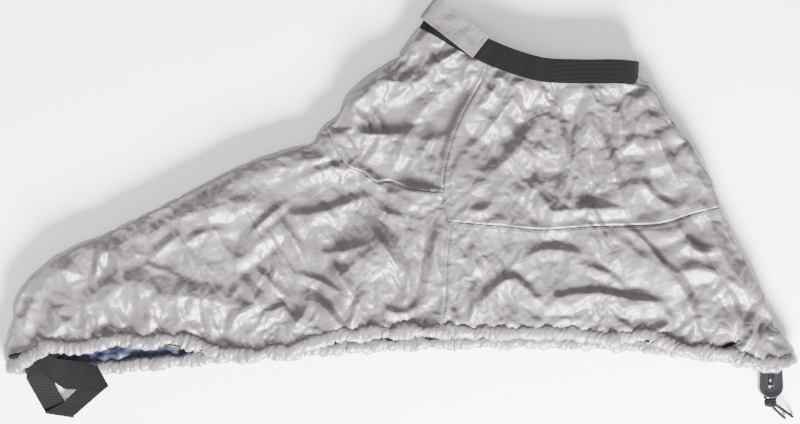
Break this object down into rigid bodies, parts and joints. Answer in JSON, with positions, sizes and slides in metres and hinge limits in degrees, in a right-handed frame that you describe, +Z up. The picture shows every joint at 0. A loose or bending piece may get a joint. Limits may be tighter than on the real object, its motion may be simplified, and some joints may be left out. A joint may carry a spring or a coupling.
{
  "type": "kayak spray skirt",
  "caption": "Coated nylon kayak spray skirt lying folded on its side, with an elastic waistband, adjuster tab, gathered shock-cord hem, webbing grab loop and sprung cord lock.",
  "frame": {"origin": "on the surface that the folded skirt lies on, under the middle of its length, level with the seam between tunnel and deck", "axes": "+X from the bow end to the stern end, +Y from the hem to the waist, +Z up out of the surface"},
  "size_m": [0.9944, 0.5346, 0.0484],
  "materials": {
    "coated_cloth": "satin, polyurethane coated",
    "seam_tape": "satin",
    "waist_elastic": "matte knit",
    "hook_and_loop": "matte",
    "webbing": "ribbed weave",
    "thread": "matte",
    "grommet": "nickel plated",
    "shock_cord": "braided",
    "lock_plastic": "fine texture",
    "spring_steel": "plain"
  },
  "bodies": {
    "skirt": {"front_deck_panel": "coated_cloth", "rear_deck_panel": "coated_cloth", "front_tunnel_panel": "coated_cloth", "rear_tunnel_panel": "coated_cloth", "hem_casing_near": "coated_cloth", "hem_casing_far": "coated_cloth", "tab_root": "coated_cloth", "side_seam_tape_near": "seam_tape", "side_seam_tape_far": "seam_tape", "front_seam_tape_near": "seam_tape", "front_seam_tape_far": "seam_tape", "rear_seam_tape_near": "seam_tape", "rear_seam_tape_far": "seam_tape", "waist_elastic": "waist_elastic", "loop_tape": "hook_and_loop", "grab_loop_anchor": "webbing", "grab_loop_bartacks": "thread", "cord_exit_grommets": "grommet", "shock_cord": "shock_cord"},
    "adjuster_tab": {"adjuster_tab": "coated_cloth", "hook_tape": "hook_and_loop"},
    "grab_loop": {"grab_loop": "webbing"},
    "cord_lock": {"cord_lock_barrel": "lock_plastic", "cord_lock_spring": "spring_steel"},
    "button": {"cord_lock_button": "lock_plastic"},
    "cord_ends": {"cord_strand_left": "shock_cord", "cord_strand_right": "shock_cord", "cord_knot": "shock_cord", "cord_tail_left": "shock_cord", "cord_tail_right": "shock_cord"}
  },
  "joints": [
    {"name": "tab_peel", "type": "hinge", "parent": "skirt", "child": "adjuster_tab", "pos_m": [0.0396, 0.2494, 0.0474], "axis": [-0.6157, -0.788, 0], "range_deg": [0, 160]},
    {"name": "grab_loop_swing", "type": "hinge", "parent": "skirt", "child": "grab_loop", "pos_m": [-0.4345, -0.188, 0.022], "axis": [-1, 0, 0], "range_deg": [0, 95]},
    {"name": "cord_lock_slide", "type": "slide", "parent": "skirt", "child": "cord_lock", "axis": [0, -1, 0], "range_m": [0, 0.01], "stiffness_N_per_m": 120},
    {"name": "cord_ends_slide", "type": "slide", "parent": "cord_lock", "child": "cord_ends", "axis": [0, -1, 0], "range_m": [0, 0.012]},
    {"name": "button_press", "type": "slide", "parent": "cord_lock", "child": "button", "axis": [0, -1, 0], "range_m": [0, 0.004], "stiffness_N_per_m": 400, "springref_m": -0.001, "deforming": ["cord_lock_spring"]}
  ]
}
